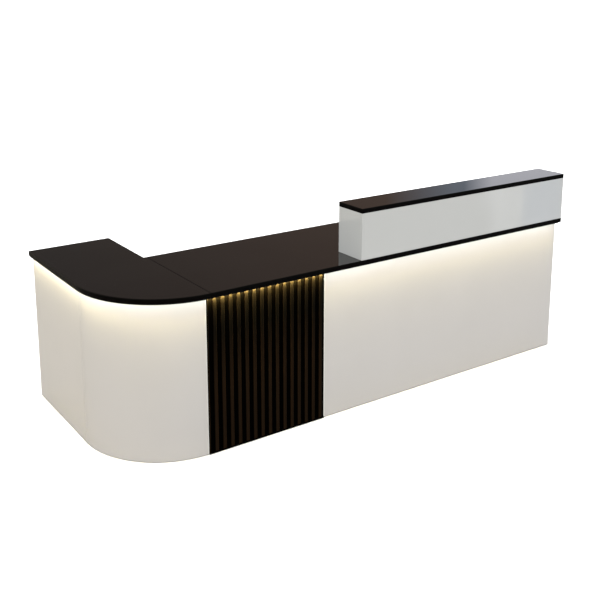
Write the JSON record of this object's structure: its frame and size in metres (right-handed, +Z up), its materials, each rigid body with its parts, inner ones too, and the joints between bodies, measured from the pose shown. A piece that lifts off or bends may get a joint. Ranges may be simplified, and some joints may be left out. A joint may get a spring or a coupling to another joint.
{
  "type": "checkout counter",
  "caption": "L-shaped checkout counter with a rounded white corner, dark slatted front section, black glass tops, raised ledge, lit overhang, drawers, till, tray and cupboard on the staff side.",
  "frame": {"origin": "centre of the overall box at floor level", "axes": "+X along the counter to the customer's right, +Y towards the staff side, +Z up"},
  "size_m": [2.64, 1.045, 1.01],
  "materials": {
    "white_lacquer": "white high-gloss lacquer on MDF",
    "slat_black": "satin black lacquer on MDF",
    "slat_brown": "dark brown fluted slats with black sides",
    "black_board": "black lacquered MDF",
    "black_glass": "tempered glass painted black on its back",
    "white_melamine": "white melamine-faced board",
    "drawer_grey": "light grey laminate on board",
    "black_aluminium": "black anodised",
    "led_strip": "flexible circuit with warm white LEDs",
    "led_diffuser": "opal diffuser, lit warm white",
    "zinc_steel": "zinc plated steel",
    "satin_steel": "satin nickel",
    "black_plastic": "moulded black plastic",
    "grey_plastic": "moulded grey plastic",
    "white_plastic": "moulded white plastic",
    "rocker_black": "glossy black",
    "chrome": "polished"
  },
  "bodies": {
    "counter": {"front_panel": "white_lacquer", "corner_panel": "white_lacquer", "wing_side_panel": "white_lacquer", "wing_end_panel": "white_lacquer", "right_end_panel": "white_lacquer", "ledge_front_panel": "white_lacquer", "ledge_uprights": "white_lacquer", "slat_backing_board": "slat_black", "slat_ribs": "slat_brown", "worktop_corner_board": "black_board", "worktop_main_board": "black_board", "ledge_top_board": "black_board", "worktop_corner_glass": "black_glass", "worktop_main_glass": "black_glass", "ledge_top_glass": "black_glass", "corner_formers": "white_melamine", "wing_partition": "white_melamine", "cabinet_uprights": "white_melamine", "cabinet_bottoms": "white_melamine", "top_rails": "white_melamine", "shelves": "white_melamine", "kick_boards": "white_melamine", "shelf_pins": "zinc_steel", "levelling_legs": "black_plastic", "angle_brackets": "zinc_steel", "led_profiles": "black_aluminium", "led_strips": "led_strip", "led_diffusers": "led_diffuser", "led_driver": "grey_plastic", "led_lead": "white_plastic", "lead_clips": "white_plastic", "grommet_sleeve": "black_plastic", "tray_hangers": "zinc_steel", "outer_runners": "zinc_steel", "till_strike": "zinc_steel", "hinge_plates": "zinc_steel"},
    "keyboard_tray": {"keyboard_tray": "white_melamine", "tray_runners": "zinc_steel"},
    "till_drawer": {"till_box": "drawer_grey", "till_front": "white_lacquer", "till_dividers": "drawer_grey", "till_runners": "zinc_steel"},
    "till_lock": {"till_lock": "chrome"},
    "cupboard_door": {"cupboard_door": "white_lacquer", "cupboard_pull": "satin_steel", "hinge_pins": "zinc_steel"},
    "light_switch": {"light_switch_rocker": "rocker_black"},
    "grommet_cap": {"grommet_cap": "black_plastic"},
    "top_drawer": {"top_drawer_box": "drawer_grey", "top_drawer_front": "white_lacquer", "top_drawer_pull": "satin_steel", "top_drawer_runners": "zinc_steel"},
    "middle_drawer": {"middle_drawer_box": "drawer_grey", "middle_drawer_front": "white_lacquer", "middle_drawer_pull": "satin_steel", "middle_drawer_runners": "zinc_steel"},
    "bottom_drawer": {"bottom_drawer_box": "drawer_grey", "bottom_drawer_front": "white_lacquer", "bottom_drawer_pull": "satin_steel", "bottom_drawer_runners": "zinc_steel"}
  },
  "joints": [
    {"name": "top_drawer_slide", "type": "slide", "parent": "counter", "child": "top_drawer", "axis": [0, 1, 0], "range_m": [0, 0.34]},
    {"name": "middle_drawer_slide", "type": "slide", "parent": "counter", "child": "middle_drawer", "axis": [0, 1, 0], "range_m": [0, 0.34]},
    {"name": "bottom_drawer_slide", "type": "slide", "parent": "counter", "child": "bottom_drawer", "axis": [0, 1, 0], "range_m": [0, 0.34]},
    {"name": "till_drawer_slide", "type": "slide", "parent": "counter", "child": "till_drawer", "axis": [0, 1, 0], "range_m": [0, 0.26]},
    {"name": "keyboard_tray_slide", "type": "slide", "parent": "counter", "child": "keyboard_tray", "axis": [0, 1, 0], "range_m": [0, 0.22]},
    {"name": "till_lock_turn", "type": "hinge", "parent": "till_drawer", "child": "till_lock", "pos_m": [0.53, 0.0775, 0.716], "axis": [0, 1, 0], "range_deg": [0, 90]},
    {"name": "cupboard_door_hinge", "type": "hinge", "parent": "counter", "child": "cupboard_door", "pos_m": [1.313, 0.0825, 0.4], "axis": [0, 0, -1], "range_deg": [0, 100]},
    {"name": "light_switch_rock", "type": "hinge", "parent": "counter", "child": "light_switch", "pos_m": [-0.8525, 0.0725, 0.7205], "axis": [1, 0, 0], "range_deg": [-16, 0]},
    {"name": "grommet_cap_turn", "type": "hinge", "parent": "counter", "child": "grommet_cap", "pos_m": [0.53, -0.2925, 0.76], "axis": [0, 0, 1], "continuous": true}
  ]
}
